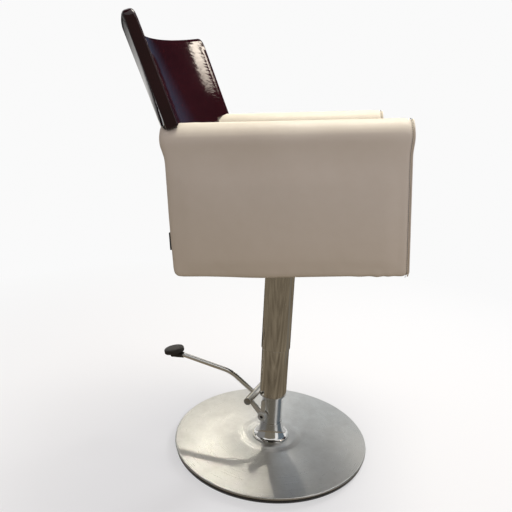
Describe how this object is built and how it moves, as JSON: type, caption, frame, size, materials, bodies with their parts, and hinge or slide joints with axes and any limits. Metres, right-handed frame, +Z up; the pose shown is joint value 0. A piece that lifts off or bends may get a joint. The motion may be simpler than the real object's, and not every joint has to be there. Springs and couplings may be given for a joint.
{
  "type": "hydraulic salon chair",
  "caption": "Upholstered box seat with rolled arms and a curved lacquered back, turning on a foot-pumped telescopic column with a round floor base",
  "frame": {"origin": "on the floor, under the centre of the round base, on the axis of the column", "axes": "+Z is up, +X is the way the sitter faces with the seat at rest, +Y is to the sitter's left"},
  "size_m": [0.6256, 0.642, 1.0653],
  "materials": {
    "rubber": "matt black",
    "black_paint": "satin black paint",
    "brushed_disc": "circular brushing",
    "chrome": "polished",
    "steel": "machined",
    "bronze": "machined",
    "black_plastic": "matt black",
    "plywood": "raw plywood",
    "black_board": "black faced board",
    "leather": "ivory, soft grain",
    "lacquer": "dark wine stain under gloss lacquer"
  },
  "bodies": {
    "base": {"floor_pad": "rubber", "ballast_plate": "black_paint", "base_cover": "brushed_disc", "base_bolt": "steel", "foot_flange": "chrome", "reservoir_tube": "chrome", "valve_block": "steel", "pressure_cylinder": "steel", "guide_bush": "bronze", "gland_nut": "steel", "wiper_seal": "rubber", "sleeve_collar": "black_plastic", "lower_sleeve": "chrome"},
    "lift": {"lift_ram": "chrome", "ram_piston": "steel", "piston_seal": "rubber", "piston_nut": "steel", "stop_tube": "steel", "thrust_washer": "bronze"},
    "seat": {"swivel_bush": "bronze", "swivel_socket": "steel", "upper_sleeve": "chrome", "mount_plate": "black_paint", "plate_bolt_1": "steel", "plate_bolt_2": "steel", "plate_bolt_3": "steel", "plate_bolt_4": "steel", "seat_board": "plywood", "cleat_left": "plywood", "cleat_right": "plywood", "arm_bolt_left_1": "steel", "arm_bolt_left_2": "steel", "arm_bolt_right_1": "steel", "arm_bolt_right_2": "steel", "front_apron": "leather", "rear_rail": "leather", "underside_cover": "black_board", "seat_cushion": "leather", "arm_core_left": "plywood", "arm_core_right": "plywood", "arm_cover_left": "leather", "arm_cover_right": "leather", "back_shell": "lacquer", "back_bracket": "black_paint", "bracket_screw_shell": "steel", "bracket_screw_board": "steel"},
    "pedal": {"pivot_shaft": "steel", "cheek_left": "steel", "cheek_right": "steel", "cheek_screw_left": "steel", "cheek_screw_right": "steel", "crossbar": "chrome", "crossbar_cap_left": "steel", "crossbar_cap_right": "steel", "pedal_rod": "chrome", "pad_plate": "steel", "pedal_pad": "rubber"},
    "plunger": {"pump_plunger": "steel"}
  },
  "joints": [
    {"name": "lift_slide", "type": "slide", "parent": "base", "child": "lift", "axis": [0, 0, 1], "range_m": [-0.135, 0.02]},
    {"name": "seat_swivel", "type": "hinge", "parent": "lift", "child": "seat", "pos_m": [0, 0, 0.578], "axis": [0, 0, 1], "continuous": true},
    {"name": "pedal_swing", "type": "hinge", "parent": "base", "child": "pedal", "pos_m": [-0.01145, 0.00361, 0.0955], "axis": [-0.3007, -0.9537, 0], "range_deg": [0, 17], "stiffness_Nm_per_rad": 6, "springref_deg": -20.05},
    {"name": "plunger_slide", "type": "slide", "parent": "base", "child": "plunger", "axis": [0, 0, 1], "range_m": [0, 0.0056]}
  ],
  "couplings": [
    {"joint": "plunger_slide", "follows": "pedal_swing", "m_per_rad": 0.018}
  ]
}
